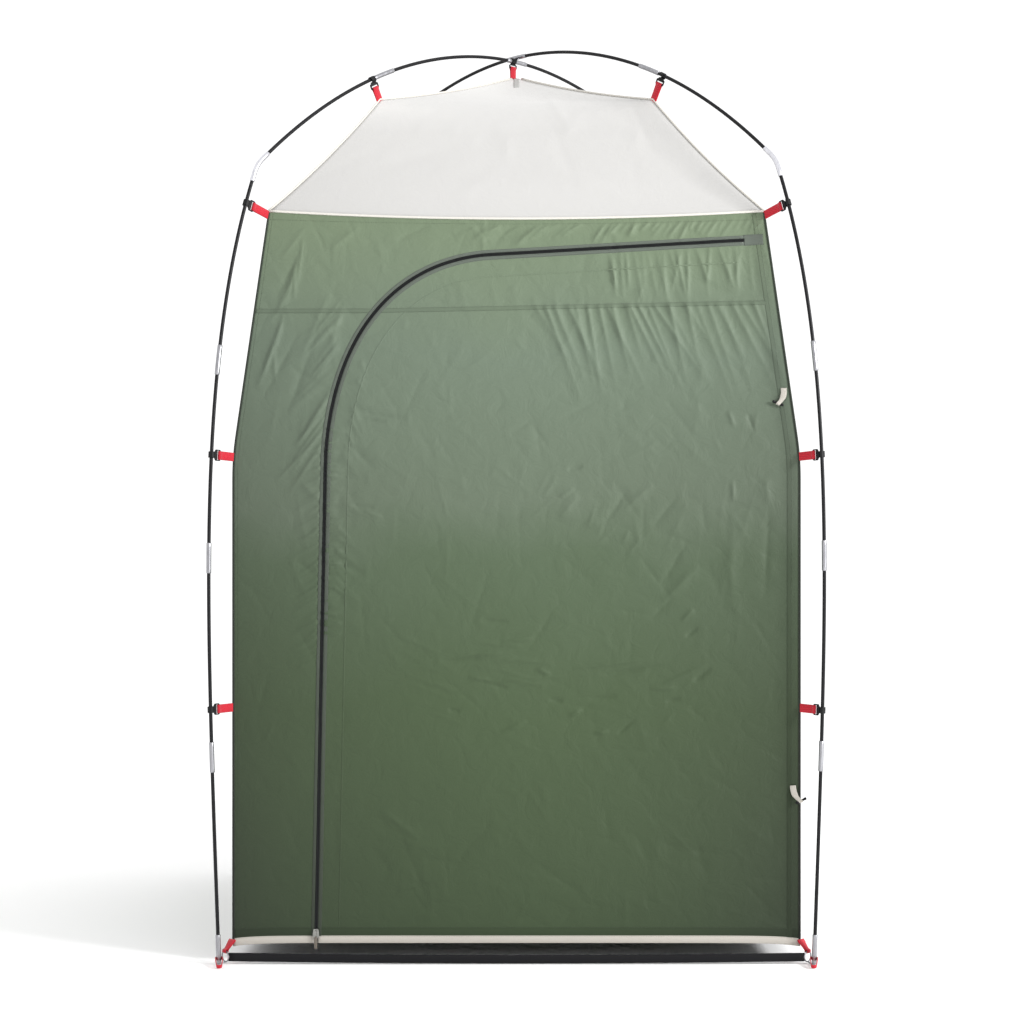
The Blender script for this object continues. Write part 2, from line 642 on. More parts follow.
def hollow(x, z):
    """How far cloth falls back between its corners and rises in long waves."""
    across = np.clip(np.abs(x) / half(z), 0, 1)
    calm = 1 - across**4
    foot = np.clip((z - HEM) / 0.12, 0, 1)
    top = np.clip((SHOULDER - z) / 0.06, 0, 1)
    waves = 0.0030 * np.sin(5.1 * x + 2.3 * z + 1.1) + 0.0022 * np.sin(9.7 * z - 4.2 * x)
    return calm * top * (-0.004 + foot * waves)


def on_wall(wall, x, z, lift=0.0):
    """Points on the cloth of a wall, raised by lift. The eaves sag and the hem's corners are pulled down."""
    x, z = np.broadcast_arrays(np.asarray(x, float), np.asarray(z, float))
    foot = np.clip((z - HEM - 0.02) / 0.05, 0, 1)
    edge = np.clip((half(z) - np.abs(x)) / 0.025, 0, 1)
    y = -half(z) - hollow(x, z) - foot * edge * folds_field(x, z, FOLDS[wall]) - lift
    sag = EAVES_SAG * (1 - (x / half(z)) ** 2) * np.clip((z - SHOULDER + 0.065) / 0.065, 0, 1) ** 1.5
    droop = HEM_DROOP * np.exp((np.abs(x) - half(z)) / 0.04) * np.clip((HEM + 0.12 - z) / 0.12, 0, 1)
    points = np.stack([x, y, z - sag - droop], -1)
    return points @ np.array(Matrix.Rotation(WALL_TURNS[wall], 3, "Z").transposed())


print("front wall with", len(FOLDS["front"]), "folds and creases")

# %% [markdown]
# ## The zip's line
#
# The zip rises on the left with a slight lean, turns through a quarter bend and runs along the top to the
# right. Door and fixed wall are cut apart along it, so both are built from its signed distance: above zero
# is the fixed wall, below zero is the door.

# %% Zip line
def zip_line(low, right, steps=48):
    foot_x = 0.191 - WALL_HALF
    rise, slope = math.tan(math.radians(1.15)), math.tan(math.radians(3.2))

    def side_at(z):
        return np.array([foot_x + (z - HEM) * rise, z])

    def top_at(x):
        return np.array([x, SHOULDER - 0.070 - (WALL_HALF - 0.119 - x) * slope])

    end = top_at(foot_x + 0.405)
    a, b = side_at(1.150), side_at(1.150 + 0.62 * (end[1] - 1.150))
    c, d = top_at(foot_x + 0.185), end
    t = np.linspace(0, 1, steps + 1)[:, None]
    bend = (1 - t) ** 3 * a + 3 * (1 - t) ** 2 * t * b + 3 * (1 - t) * t**2 * c + t**3 * d
    side = [side_at(z) for z in np.linspace(low, 1.150, 60)[:-1]]
    top = [top_at(x) for x in np.linspace(end[0], right, 50)[1:]]
    return np.array([*side, *bend, *top])


ZIP_END = WALL_HALF - 0.119
STRIP_EDGE = 0.632  # the door cloth runs on to the double seam beside the right corner
cut_line = zip_line(HEM - 0.05, STRIP_EDGE + 0.05)


def zip_distance(x, z):
    """Signed distance to the zip: positive on the fixed wall, negative on the door."""
    shape = x.shape
    px, pz = x.ravel(), z.ravel()
    best = np.full(px.shape, 9.0)
    signed = np.zeros(px.shape)
    for (ax, az), (bx, bz) in zip(cut_line[:-1], cut_line[1:]):
        dx, dz = bx - ax, bz - az
        length = math.hypot(dx, dz)
        t = np.clip(((px - ax) * dx + (pz - az) * dz) / length**2, 0, 1)
        away = np.hypot(px - ax - t * dx, pz - az - t * dz)
        side = (dx * (pz - az) - dz * (px - ax)) / length
        closer = away < best
        best = np.where(closer, away, best)
        signed = np.where(closer, np.where(side >= 0, away, -away), signed)
    return signed.reshape(shape)


# %% [markdown]
# ## Front wall and door
#
# The two are cut from one grid of points on the wall. Points near the cut are moved on to it, so its edge is
# clean under the tapes. The door turns with its body and is blended into the fixed wall at its folding line.

# %% Front wall and door
CLOTH = 0.0006
GRID = 0.0035


def cloth_piece(name, part, material):
    """A cloth skin given its thickness."""
    piece = mesh_piece(name, part, material, None)
    thick = piece.modifiers.new("cloth", "SOLIDIFY")
    thick.thickness = CLOTH
    thick.offset = -1
    bpy.context.view_layer.objects.active = piece
    with bpy.context.temp_override(object=piece, active_object=piece, selected_objects=[piece]):
        bpy.ops.object.modifier_apply(modifier="cloth")
    piece.data.polygons.foreach_set("use_smooth", [True] * len(piece.data.polygons))
    return piece


def even_count(length, step):
    return int(length / step) + 1


TOP_ROW = SHOULDER - CLOTH
columns = np.linspace(-1, 1, even_count(2 * WALL_HALF, GRID))
rows = np.linspace(HEM, TOP_ROW, even_count(SHOULDER - HEM, GRID))
flat_z = np.repeat(rows[:, None], len(columns), 1)
flat_x = columns[None, :] * half(flat_z)
distance = zip_distance(flat_x, flat_z)


def grid_skin(wall, x, z, chosen):
    """Points and faces of a wall's cloth on the squares of a grid whose four points are all chosen."""
    quads = chosen[:-1, :-1] & chosen[1:, :-1] & chosen[:-1, 1:] & chosen[1:, 1:]
    needed = np.zeros(x.shape, bool)
    for i, j in ((0, 0), (0, 1), (1, 0), (1, 1)):
        needed[i : i + quads.shape[0], j : j + quads.shape[1]] |= quads
    order = np.cumsum(needed.ravel()).reshape(x.shape) - 1
    i, j = np.nonzero(quads)
    faces = np.stack([order[i, j], order[i, j + 1], order[i + 1, j + 1], order[i + 1, j]], 1)
    return on_wall(wall, x[needed], z[needed]), [tuple(map(int, face)) for face in faces]


def snapped(level):
    """The grid with the points beside a distance level moved on to it, away from the wall's own edges."""
    gz = np.gradient(distance, rows, axis=0)
    gx = np.gradient(distance, axis=1) / np.gradient(flat_x, axis=1)
    size = gx**2 + gz**2 + 1e-9
    near = np.abs(distance - level) < 0.55 * GRID
    step = np.where(near, level - distance, 0)
    x = flat_x + step * gx / size
    z = np.clip(flat_z + step * gz / size, rows[0], rows[-1])
    return x, z, np.where(near, level, distance)


def cut_skin(level, keep, edge):
    """Points and faces of the grid where keep says so, cut at the zip's level and at the door's edge."""
    x, z, d = snapped(level)
    border = edge * half(z) / WALL_HALF
    x = np.where(np.abs(flat_x - border) < 0.5 * GRID, border, x)
    return grid_skin("front", x, z, keep(x, z, d, border))


TAPE_EDGE = 0.0035
HAIR = 1e-5
SEAM_ROW = float(rows[np.abs(rows - 1.5145).argmin()])


def is_fixed(x, d, edge):
    return (d > TAPE_EDGE - HAIR) & (x < edge + HAIR)


FIXED_PARTS = {
    "front_left_cloth": lambda x, z, d, edge: is_fixed(x, d, edge) & (z < SEAM_ROW + HAIR),
    "front_yoke_cloth": lambda x, z, d, edge: is_fixed(x, d, edge) & (z > SEAM_ROW - HAIR),
    "front_right_cloth": lambda x, z, d, edge: x > edge - HAIR,
}
for name, keep in FIXED_PARTS.items():
    cloth = cloth_piece(name, cut_skin(TAPE_EDGE, keep, STRIP_EDGE), wall_taffeta)
    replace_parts(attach(cloth, "tent"), "front_wall")
in_door = lambda x, z, d, edge: (d < -TAPE_EDGE + HAIR) & (x < edge + HAIR)
door_skin = cut_skin(-TAPE_EDGE, in_door, STRIP_EDGE)
door_cloth = cloth_piece("door_cloth", door_skin, wall_taffeta)
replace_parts(door_cloth, "door_panel")


def fold_with_door(piece):
    """The piece stays with the tent right of the folding line and turns with the door left of it."""
    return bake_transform(piece)


fold_with_door(door_cloth)

# %% [markdown]
# ## Side and rear walls
#
# The other three walls are whole panels, made the same way with their own creases and turned into place.

# %% Side and rear walls
PLAIN_GRID = 0.007


def plain_wall(wall):
    across = np.linspace(-1, 1, even_count(2 * WALL_HALF, PLAIN_GRID))
    heights = np.linspace(HEM, TOP_ROW, even_count(SHOULDER - HEM, PLAIN_GRID))
    z = np.repeat(heights[:, None], len(across), 1)
    x = across[None, :] * half(z)
    skin = grid_skin(wall, x, z, np.ones(x.shape, bool))
    piece = cloth_piece(f"{wall}_wall_cloth", skin, wall_taffeta)
    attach(piece, "tent")
    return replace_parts(piece, f"{wall}_wall")


side_cloths = [plain_wall(wall) for wall in ("left", "right", "rear")]
print("three plain walls")

# %% [markdown]
# ## Roof
#
# Four gores meet on ridges that sag between their ties. Between the ridges the cloth hollows slightly. A
# cream piping is sewn into every ridge and round the eaves.

# %% Roof
TIE = (0.338, 2.069)
RIDGE_SAG = 0.008


def ridge_line(steps=24):
    """The corner ridge as half width and height, from the eaves to the peak."""
    points = []
    for (q0, z0), (q1, z1) in (((SHOULDER_HALF, SHOULDER), TIE), (TIE, (0.0, PEAK))):
        for i in range(steps):
            t = i / steps
            hang = 4 * RIDGE_SAG * t * (1 - t)
            size = math.hypot(q1 - q0, z1 - z0)
            down = (-(z1 - z0) / size, (q1 - q0) / size)
            points.append((q0 + (q1 - q0) * t + down[0] * hang, z0 + (z1 - z0) * t + down[1] * hang))
    points.append((0.0, PEAK))
    return np.array(points)


ridge_points = ridge_line()


def gore(turn, seed):
    chance = np.random.default_rng(seed)
    s = np.linspace(-1, 1, 97)
    soft = np.pad(ridge_points, ((6, 6), (0, 0)), "edge")
    soft = np.stack([np.convolve(soft[:, k], np.ones(13) / 13, "valid") for k in (0, 1)], 1)
    ends = np.clip(np.minimum(np.arange(len(soft)), np.arange(len(soft))[::-1]) / 6, 0, 1)[:, None]
    soft = ridge_points + (soft - ridge_points) * ends
    share = 1 - s[None, :] ** 4
    q = ridge_points[:, 0:1] * (1 - share) + soft[:, 0:1] * share
    z = ridge_points[:, 1:2] * (1 - share) + soft[:, 1:2] * share
    rise = np.linspace(0, 1, len(ridge_points))[:, None]
    sag = 0.020 * (1 - s[None, :] ** 2) * np.sin(math.pi * np.clip(rise * 1.02, 0, 1)) ** 0.7
    x = s[None, :] * q
    creases = np.zeros_like(x)
    for _ in range(26):
        a = (chance.uniform(-0.5, 0.5), chance.uniform(1.78, 2.0))
        b = (a[0] * chance.uniform(0.3, 1.0) + chance.normal(0, 0.05), a[1] + chance.uniform(0.04, 0.16))
        size = chance.choice([-1, 1]) * chance.uniform(0.0006, 0.002)
        creases += ridge(x, np.broadcast_to(z, x.shape), a, b, chance.uniform(0.008, 0.02), size)
    edge = np.clip((1 - np.abs(s[None, :])) / 0.05, 0, 1)
    y = -np.broadcast_to(q, x.shape) + sag * 0.6 - creases * edge * 0.8
    eaves = EAVES_SAG * (1 - s[None, :] ** 2) * np.clip(1 - rise * 7, 0, 1)
    height = np.broadcast_to(z, x.shape) - sag * 0.8 + creases * edge * 0.6 - eaves
    skin = np.stack([x, y, height], -1)
    return skin @ np.array(Matrix.Rotation(turn, 3, "Z").transposed())


roof_parts = []
for k in range(4):
    skin = gore(k * math.pi / 2, 21 + k)
    n_rows, n_cols = skin.shape[:2]
    faces = [
        (i * n_cols + j, i * n_cols + j + 1, (i + 1) * n_cols + j + 1, (i + 1) * n_cols + j)
        for i in range(n_rows - 1)
        for j in range(n_cols - 1)
    ]
    roof_parts.append((skin.reshape(-1, 3), faces))
roof_points, roof_faces = merged(roof_parts)
roof_mesh = bmesh.new()
for p in roof_points:
    roof_mesh.verts.new(tuple(map(float, p)))
roof_mesh.verts.ensure_lookup_table()
for face in roof_faces:
    roof_mesh.faces.new([roof_mesh.verts[i] for i in face])
bmesh.ops.remove_doubles(roof_mesh, verts=roof_mesh.verts, dist=0.0002)
roof_mesh.verts.index_update()
clean_points = [tuple(v.co) for v in roof_mesh.verts]
clean_faces = [tuple(v.index for v in f.verts) for f in roof_mesh.faces]
roof_mesh.free()
roof_cloth = cloth_piece("roof_cloth", (clean_points, clean_faces), roof_taffeta)
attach(roof_cloth, "tent")
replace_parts(roof_cloth, "roof_canopy")

piping_parts = []
for corner, _, _ in CORNERS.values():
    centres = [
        (q * math.sqrt(2) * math.cos(corner), q * math.sqrt(2) * math.sin(corner), z + 0.0022)
        for q, z in ridge_points[:-1]
    ]
    piping_parts.append(tube(centres, 0.0026, 8))
mesh_piece("ridge_piping", merged(piping_parts), piping_cloth)
eaves = []
for k in range(4):
    turn = Matrix.Rotation(k * math.pi / 2, 3, "Z")
    for x in np.linspace(-SHOULDER_HALF, SHOULDER_HALF, 60)[:-1]:
        drop = EAVES_SAG * (1 - (x / SHOULDER_HALF) ** 2)
        eaves.append(tuple(turn @ Vector((x, -SHOULDER_HALF - 0.0012, SHOULDER - drop))))
mesh_piece("eaves_piping", tube(eaves, 0.0028, 8, True), piping_cloth)

# a square of doubled cloth on the front gore, where the strap at the peak is sewn through
PATCH_HALF, PATCH_DROP = 0.007, 0.042
roof_tree = BVHTree.FromPolygons(clean_points, clean_faces)
patch_rails = []
for x in np.linspace(-PATCH_HALF, PATCH_HALF, 7):
    rail, back = [], 0.008
    while len(rail) < 60:
        spot, normal, _, _ = roof_tree.ray_cast(Vector((x, -back, 3)), Vector((0, 0, -1)))
        if spot.z < PEAK - PATCH_DROP:
            break
        rail.append(spot + Vector((0, 0, 0.0012)))
        back += 0.003
    patch_rails.append(rail)
shortest = min(len(rail) for rail in patch_rails)
patch_rings = []
for i in range(shortest):
    top = [rail[i] for rail in patch_rails]
    patch_rings.append(top + [spot - Vector((0, 0, 0.0016)) for spot in reversed(top)])
mesh_piece("peak_patch", swept(patch_rings), patch_taffeta)
print("roof with", len(clean_faces), "faces, its piping and the patch at its peak")

# %% [markdown]
# ## Tapes, seams and stitches
#
# The zip is sewn between two tapes that show as narrow raised bands. A flat-felled seam runs round the tent
# below the top of the zip, and another runs beside the right corner. A cream tape binds the hem, with a
# doubled band of wall cloth above it. Each is a thin strip that follows the cloth, with its rows of stitches.

# %% Tools for tapes and stitches
SEAM_LIFT = 0.0008


def offset_path(points, away):
    """A path in the wall's plane moved to its left by away."""
    tangents = directions(points, False)
    return points + away * np.stack([-tangents[:, 1], tangents[:, 0]], -1)


def tape(name, path, near, far, lift, material, body="tent", wall="front", teeth=None):
    """A closed strip on a wall's cloth between two sideways distances from a path. It may have teeth."""
    near, far = max(near, far), min(near, far)
    edge = min(0.0010, (near - far) / 4)
    low = -CLOTH * 0.8
    profile = [(near, low), (near - edge * 0.3, lift * 0.7), (near - edge, lift), ((near + far) / 2, lift)]
    profile += [(far + edge, lift), (far + edge * 0.3, lift * 0.7), (far, low)]
    rails = []
    for away, up in profile:
        side = offset_path(path, away)
        height = np.full(len(path), up)
        if teeth is not None and up > 0:
            height -= up * 0.22 * (1 + np.cos(2 * math.pi * np.arange(len(path)) / COIL_STEPS + teeth))
        rails.append(on_wall(wall, side[:, 0], side[:, 1], height))
    strip = swept([list(ring) for ring in np.stack(rails, 1)])
    piece = mesh_piece(name, strip, material, None)
    return fold_with_door(piece) if body == "door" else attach(piece, body)


def even_path(path, step):
    """A path with its points an even step apart."""
    along = np.concatenate([[0], np.cumsum(np.linalg.norm(np.diff(path, axis=0), axis=1))])
    stations = np.arange(step / 2, along[-1], step)
    return np.stack([np.interp(stations, along, path[:, k]) for k in (0, 1)], -1)


def stitches(name, path, rows, lift, body="tent", wall="front", length=0.0030, gap=0.0009):
    """Rows of stitches at sideways distances from a path; each stitch is a small bead of thread."""
    parts = []
    for away in rows:
        spots = even_path(offset_path(path, away), length + gap)
        ahead = np.gradient(spots, axis=0)
        ahead *= length / 2 / np.linalg.norm(ahead, axis=1)[:, None]
        aside = np.stack([-ahead[:, 1], ahead[:, 0]], -1) * 0.24
        corners = [spots - ahead, spots + aside, spots + ahead, spots - aside]
        ring = [on_wall(wall, c[:, 0], c[:, 1], lift) for c in corners]
        top = on_wall(wall, spots[:, 0], spots[:, 1], lift + 0.0004)
        under = on_wall(wall, spots[:, 0], spots[:, 1], lift - 0.0004)
        points = np.stack([*ring, top, under], 1).reshape(-1, 3)
        faces = []
        for start in range(0, len(points), 6):
            for k in range(4):
                faces.append((start + k, start + (k + 1) % 4, start + 4))
                faces.append((start + (k + 1) % 4, start + k, start + 5))
        parts.append((points, faces))
    piece = mesh_piece(name, merged(parts), thread, None)
    return fold_with_door(piece) if body == "door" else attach(piece, body)


def felled_seam(kind, side, path, body="tent", wall="front"):
    """A flat seam with a row of stitches along each of its edges."""
    tape(f"{kind}_seam_{side}", path, -0.0055, 0.0055, SEAM_LIFT, seam_taffeta, body, wall)
    stitches(f"{kind}_stitches_{side}", path, (-0.0043, 0.0043), SEAM_LIFT, body, wall)


def straight(ax, az, bx, bz, steps=120):
    t = np.linspace(0, 1, steps)[:, None]
    return np.array([[ax, az]]) * (1 - t) + np.array([[bx, bz]]) * t


# %% [markdown]
# Each half of the zip is a nylon coil with a tooth every 1.6 mm, and the two halves meet tooth to gap. The
# door's facing is caught by one more row of stitches, set back from the zip.

# %% Zip
COIL_PITCH, COIL_STEPS = 0.0016, 4
full_zip = zip_line(HEM + 0.002, ZIP_END, 60)
tape("zip_tape_wall", full_zip, 0.0039, 0.0115, 0.0011, zip_taffeta)
tape("zip_tape_door", full_zip, -0.0039, -0.0125, 0.0011, zip_taffeta, "door")
wall_line = even_path(full_zip, COIL_PITCH / COIL_STEPS)
wall_coil = tape("zip_coil_wall", wall_line, -0.0001, 0.0040, 0.0019, coil, teeth=0.0)
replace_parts(wall_coil, "zip_chain_wall")
door_line = even_path(zip_line(0.078, ZIP_END, 60), COIL_PITCH / COIL_STEPS)
door_coil = tape("zip_coil_door", door_line, 0.0001, -0.0040, 0.0019, coil, "door", teeth=math.pi)
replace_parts(door_coil, "zip_chain_door")
stitches("zip_stitches_wall", full_zip, (0.0064, 0.0103), 0.0011)
stitches("zip_stitches_door", full_zip, (-0.0064, -0.0111), 0.0011, "door")
facing = zip_line(HEM + 0.02, ZIP_END - 0.02, 60)
tape("facing_ridge", facing, -0.0505, -0.0545, 0.0005, wall_taffeta, "door")
stitches("facing_stitches", facing, (-0.0525,), 0.0003, "door")
end_slope = math.tan(math.radians(3.2))
end_z = SHOULDER - 0.070
end_patch = straight(ZIP_END - 0.003, end_z, ZIP_END + 0.042, end_z + 0.045 * end_slope, 20)
tape("zip_end_patch", end_patch, 0.0125, -0.0135, 0.0014, zip_taffeta)
stitches("zip_end_stitches", end_patch, (0.0108, -0.0118), 0.0014)
print("zip with its tapes and facing")

# %% Seams and hem
left_end = half(1.514) - 0.002
zip_meets = float(np.interp(1.515, full_zip[:, 1], full_zip[:, 0]))  # the zip's tapes cover the seam's ends
print("the seam meets the zip at", round(zip_meets, 4))
cross_left = straight(-left_end, 1.514, zip_meets - 0.0105, 1.515, 60)
felled_seam("cross", "left", cross_left)
cross_door = straight(zip_meets + 0.0110, 1.5155, 0.585, 1.534, 200)
felled_seam("cross", "door", cross_door, "door")
edge_heights = np.linspace(HEM + 0.002, SHOULDER - 0.003, 200)
edge_path = np.stack([half(edge_heights) - 0.024, edge_heights], -1)
felled_seam("edge", "right", edge_path)
left_edge = np.stack([-half(edge_heights) + 0.010, edge_heights], -1)
stitches("edge_stitches_left", left_edge, (0.0,), 0.0002)

HEM_END = WALL_HALF - 0.001
HEM_LINES = {
    "left": ("front", "tent", -HEM_END, -0.4685),
    "door": ("front", "door", -0.461, HEM_END),
    "right_side": ("right", "tent", -HEM_END, HEM_END),
    "rear": ("rear", "tent", -HEM_END, HEM_END),
    "left_side": ("left", "tent", -HEM_END, HEM_END),
}
for name, (wall, body, start, end) in HEM_LINES.items():
    steps = int(abs(end - start) / 0.005)
    bound = straight(start, HEM + 0.009, end, HEM + 0.009, steps)
    tape(f"hem_tape_{name}", bound, -0.0105, 0.0070, 0.0012, cream_tape, body, wall)
    stitches(f"hem_stitches_{name}", bound, (0.0052,), 0.0012, body, wall)
    doubled = straight(start, HEM + 0.028, end, HEM + 0.028, steps)
    tape(f"hem_fold_{name}", doubled, -0.010, 0.008, 0.0006, hem_taffeta, body, wall)
    stitches(f"hem_fold_stitches_{name}", doubled, (0.0065,), 0.0006, body, wall)
for wall in ("right", "rear", "left"):
    felled_seam("cross", wall, straight(-left_end, 1.515, left_end, 1.515, 240), "tent", wall)
for wall in WALL_TURNS:
    eaves_z = SHOULDER - 0.013 - EAVES_SAG * 0.4
    top = straight(-half(1.735) + 0.004, eaves_z, half(1.735) - 0.004, eaves_z, 240)
    stitches(f"eaves_stitches_{wall}", top, (0.0,), 0.0003, "tent", wall)
print("seams, hems and their stitches")

# %% [markdown]
# ## Straps and corner bindings
#
# Each strap is one length of webbing folded in half round the bar of its clip and sewn to the corner seam.
# The seam itself is bound with a narrow dark band of the wall's cloth.

# %% Straps
CLIP_REACH, CLIP_BAR, CLIP_PLATE = 0.0235, 0.0035, 0.0032
WEBBING, HALF_GAP = 0.0015, 0.0009
STRAP_HEIGHTS = {"low": 0.589, "middle": 1.170, "shoulder": 1.743}


def folded(length, radius, bar=0.0):
    """The side view of a strip that runs from -length round a bar and back."""
    angles = np.linspace(math.radians(150), math.radians(-150), 17)
    turn = [(-bar + radius * math.cos(a), radius * math.sin(a)) for a in angles]
    end, rise = turn[0]
    run = np.linspace(0, 1, 9)
    there = [(-length + (end + length) * t, HALF_GAP + (rise - HALF_GAP) * t**3) for t in run]
    return there[:-1] + turn + [(x, -y) for x, y in reversed(there)][1:]


def strap_loop(reach, gripped, length):
    """A folded strap in the frame of its clip."""
    radius = math.hypot(CLIP_BAR, CLIP_PLATE) / 2 + 0.0004 + WEBBING / 2
    side_view = folded(length, radius, reach - CLIP_BAR / 2 + SLEEVE - gripped)
    return band([(x, y, 0) for x, y in side_view], (0, 0, 1), 0.020, WEBBING)


for where, (corner, line, turn) in CORNERS.items():
    ties = {name: (float(half(z)) * math.sqrt(2), z) for name, z in STRAP_HEIGHTS.items()}
    ties["roof"] = (TIE[0] * math.sqrt(2), TIE[1])
    parts = []
    for r, z in ties.values():
        s = line.nearest(r, z)
        pr, pz = line.at(s)
        loop = strap_loop(CLIP_REACH, ROD, math.hypot(pr - r, pz - z) + 0.004)
        parts.append(placed(loop, line.frame(s, corner)))
    webbing = f"corner_webbing_{where}"
    mesh_piece(f"straps_{where}", merged(parts), red_webbing, instead_of=webbing)
    seam = []
    for z in np.linspace(HEM + 0.004, SHOULDER - 0.004, 90):
        out = float(half(z)) * math.sqrt(2)
        seam.append((out * math.cos(corner), out * math.sin(corner), z))
    mesh_piece(f"corner_binding_{where}", tube(seam, 0.0028, 8), edge_taffeta)
s = lower_pole.crossing - SLEEVE - 0.008
r, z = lower_pole.at(s)
loop = placed(strap_loop(0.020, SLEEVE, z - PEAK + 0.004), lower_pole.frame(s, math.radians(-135)))
mesh_piece("peak_strap", loop, red_webbing, instead_of="crossing_strap")
print("seventeen straps")

# %% [markdown]
# ## Feet
#
# At each foot a steel ring with a pin plugs into the pole. The red tab of the hem and the black threshold
# strap are folded round the ring, and a red loop for the ground peg hangs round the pole's tip.

# %% Feet
RING_CENTRE, RING_HEIGHT, RING_RADIUS, RING_WIRE = FOOT - 0.018, 0.017, 0.0122, 0.00175
LOOP_BORE, TIP_BORE, LOOP_REACH = SLEEVE + 0.00275, 0.00575, 0.048
FULL_TURN = np.linspace(0, 2 * math.pi, 41)[:-1]


def ring_and_pin(line):
    """The ring, the disc below the pole, the bent tail between them and the pin, in the plane of the pole."""
    around = [(RING_RADIUS * math.cos(a), RING_HEIGHT + RING_RADIUS * math.sin(a)) for a in FULL_TURN]
    ring = tube([(RING_CENTRE, y, z) for y, z in around], RING_WIRE, 12, True)
    disc = tube([(FOOT, 0, h) for h in (0.0001, 0.0004, 0.0020, 0.0024)], [0.0055, 0.006, 0.006, 0.0056], 24)
    bends = [(RING_CENTRE - 0.001, 0.0048), (RING_CENTRE + 0.003, 0.0040), (RING_CENTRE + 0.009, 0.0018)]
    tail = tube([(x, 0, z) for x, z in bends + [(FOOT - 0.004, 0.0018)]], RING_WIRE, 12)
    pin = tube([(line.at(h)[0], 0, line.at(h)[1]) for h in np.linspace(0.001, 0.041, 6)], 0.002, 12)
    return merged([ring, disc, tail, pin])


def hem_tab():
    """A tab that is folded round the top of the ring and widens towards the hem."""
    top = (RING_CENTRE, RING_HEIGHT + RING_RADIUS)
    hem = (WALL_HALF * math.sqrt(2) + 0.002, HEM + 0.008)
    slope = math.atan2(hem[1] - top[1], top[0] - hem[0])
    length = math.hypot(hem[0] - top[0], hem[1] - top[1])
    side_view = folded(length, RING_WIRE + 0.0019 + 0.00075)
    points, faces = band([(x, 0, z) for x, z in side_view], (0, 1, 0), 0.013, WEBBING)
    points = [(x, y * (1 + 0.85 * min(max(-x / length * 1.6 - 0.3, 0), 1)), z) for x, y, z in points]
    return placed((points, faces), Matrix.Translation((top[0], 0, top[1])) @ Matrix.Rotation(slope, 4, "Y"))


def between(p, q):
    return [(p[0] + (q[0] - p[0]) * t, p[1] + (q[1] - p[1]) * t) for t in np.linspace(0, 1, 8)[1:-1]]


def peg_loop():
    """A closed loop of webbing, wide round the pole's tip and narrow at its far end."""
    tangent = math.acos((LOOP_BORE - TIP_BORE) / LOOP_REACH)
    wide = np.linspace(tangent, 2 * math.pi - tangent, 22)
    near = [(LOOP_BORE * math.cos(a), LOOP_BORE * math.sin(a)) for a in wide]
    narrow = np.linspace(-tangent, tangent, 12)
    far = [(LOOP_REACH + TIP_BORE * math.cos(a), TIP_BORE * math.sin(a)) for a in narrow]
    outline = near + between(near[-1], far[0]) + far + between(far[-1], near[0])
    fall = 0.0075 / (LOOP_REACH + TIP_BORE)
    return band([(x, y, 0.014 - fall * max(x, 0)) for x, y in outline], (0, 0, 1), 0.008, WEBBING, True)


for where, (corner, line, turn) in CORNERS.items():
    spin = Matrix.Rotation(corner, 4, "Z")
    ring = placed(ring_and_pin(line), spin)
    mesh_piece(f"ring_and_pin_{where}", ring, steel, instead_of=f"ring_pin_{where}")
    mesh_piece(f"hem_tab_{where}", placed(hem_tab(), spin), red_webbing)
    tip = spin @ Matrix.Translation((FOOT, 0, 0)) @ Matrix.Rotation(turn * math.radians(54), 4, "Z")
    loop = placed(peg_loop(), tip)
    mesh_piece(f"peg_loop_{where}", loop, red_webbing, instead_of=f"stake_loop_{where}")

threshold_y = -(RING_CENTRE + RING_RADIUS) / math.sqrt(2)
end_x = (RING_CENTRE - RING_RADIUS) / math.sqrt(2)
stations = np.linspace(-end_x, end_x, 80)
path = [(x, threshold_y, RING_HEIGHT - 0.005 * (1 - (x / end_x) ** 2)) for x in stations]
threshold = band(path, (0, 0, 1), 0.020, 0.002)
mesh_piece("threshold_strap", threshold, black_webbing, instead_of="threshold_webbing")
print("four feet and the threshold strap")

# %% [markdown]
# ## Toggle loops and zip pull
#
# Each toggle hangs on a cream band that is folded round its peg and sewn to the wall by its other end. The
# zip's pull is a folded grey ribbon through the slider's bridge.

# %% Toggle loops and zip pull
PEG_BORE = 0.0027 + 0.0004 + 0.00075
LEAN = 0.074 / 0.583
WALL_LEAN = math.degrees(math.atan(LEAN))
TOGGLES = {"upper": (0.014, 1.332, 22, 6.0 + WALL_LEAN, 1), "lower": (0.016, 0.410, -27, 15, -1)}
for name, (inset, height, swing, stand_off, bow) in TOGGLES.items():
    flat_half = WALL_HALF - LEAN * max(height - WAIST, 0)
    place = (
        Matrix.Translation((flat_half - inset, -flat_half - 0.0022, height))
        @ Matrix.Rotation(math.radians(swing), 4, "Y")
        @ Matrix.Rotation(-math.radians(stand_off), 4, "X")
    )
    angles = np.linspace(math.radians(-112), math.radians(112), 19)
    round_peg = [(0, PEG_BORE * math.sin(a), -0.040 - PEG_BORE * math.cos(a)) for a in angles]
    first = round_peg[0]
    fall = np.linspace(0, 1, 14)[:-1]
    down = [(0, -0.0008 + (first[1] + 0.0008) * t**4, -0.0004 + (first[2] + 0.0004) * t) for t in fall]
    up = [(0, -y, z) for _, y, z in reversed(down)]
    bowed = [(bow * 0.006 * math.sin(-z / 0.044 * math.pi), y, z) for _, y, z in down + round_peg + up]
    points, faces = band(bowed, (1, 0, 0), 0.014, 0.0012)
    narrowed = []
    for (x, y, z), middle in zip(points, np.repeat([b[0] for b in bowed], 8)):
        narrow = 1 - 0.4 * min(max((-z - 0.020) / 0.014, 0), 1)
        narrowed.append((middle + (x - middle) * narrow, y, z))
    loop = placed((narrowed, faces), place)
    mesh_piece(f"toggle_band_{name}", loop, cream_tape, f"{name}_loop", f"toggle_loop_{name}")

